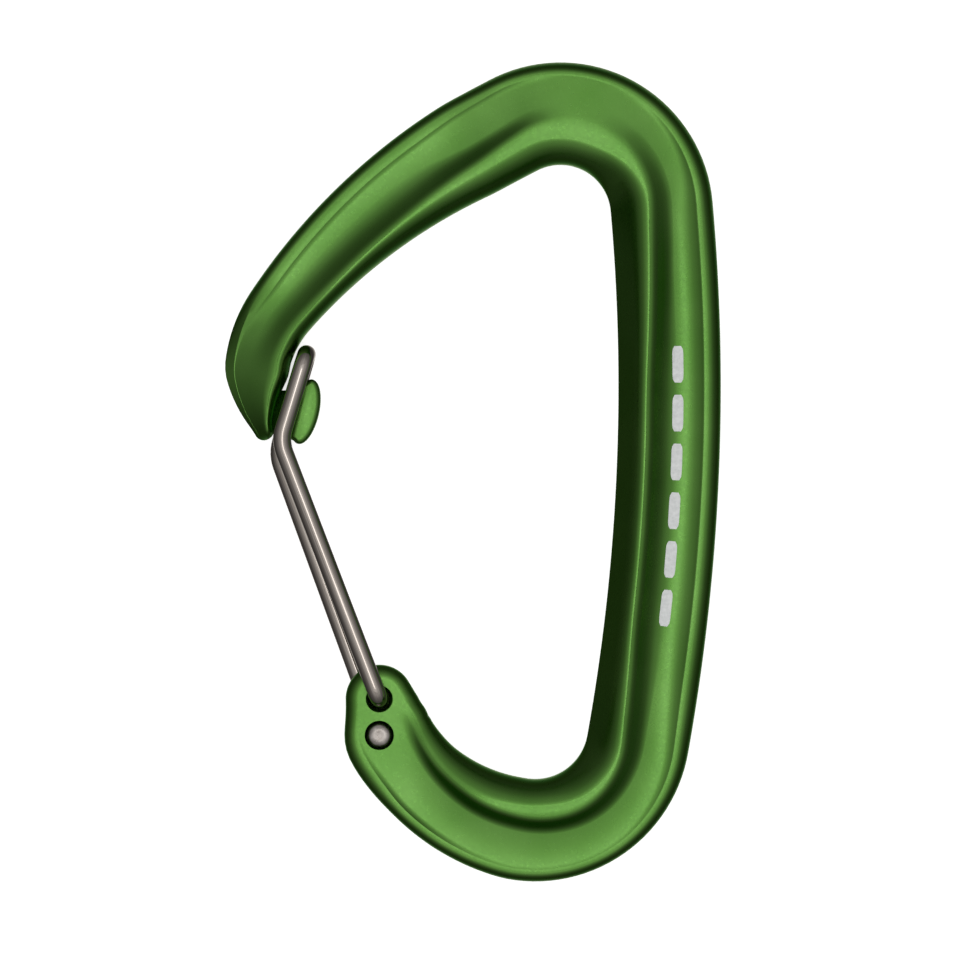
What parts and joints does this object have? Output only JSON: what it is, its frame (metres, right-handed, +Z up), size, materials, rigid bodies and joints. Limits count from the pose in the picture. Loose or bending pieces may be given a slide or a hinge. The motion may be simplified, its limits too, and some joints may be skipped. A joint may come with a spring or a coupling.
{
  "type": "wire gate carabiner",
  "caption": "Wire-gate carabiner lying flat: asymmetric D-shaped recessed bar body with a hooked nose, and a sprung bent-wire gate hinged in the ear.",
  "frame": {"origin": "middle of the footprint, on the plane that the underside of the inner rail rests on", "axes": "the carabiner lies flat: +X across it from the gate to the spine, +Y along it from the sling end to the rope end, +Z up through its thickness"},
  "size_m": [0.0586, 0.0968, 0.01],
  "materials": {
    "anodised_body": "satin green anodising over a forged and tumbled surface",
    "gate_steel": "drawn stainless spring wire, tumbled bright"
  },
  "bodies": {
    "body": {"carabiner_body": "anodised_body"},
    "gate_front": {"gate_wire_front_half": "gate_steel"},
    "gate_back": {"gate_wire_back_half": "gate_steel"}
  },
  "joints": [
    {"name": "gate_hinge", "type": "hinge", "parent": "body", "child": "gate_front", "pos_m": [-0.01106, -0.02678, 0.005], "axis": [0, 0, -1], "range_deg": [0, 48], "stiffness_Nm_per_rad": 0.2, "springref_deg": -3.44},
    {"name": "wire_flex", "type": "hinge", "parent": "gate_front", "child": "gate_back", "pos_m": [-0.02463, 0.01052, 0.005], "axis": [0, 0, 1], "range_deg": [0, 5]}
  ],
  "couplings": [
    {"joint": "wire_flex", "follows": "gate_hinge", "ratio": 0.0965}
  ]
}
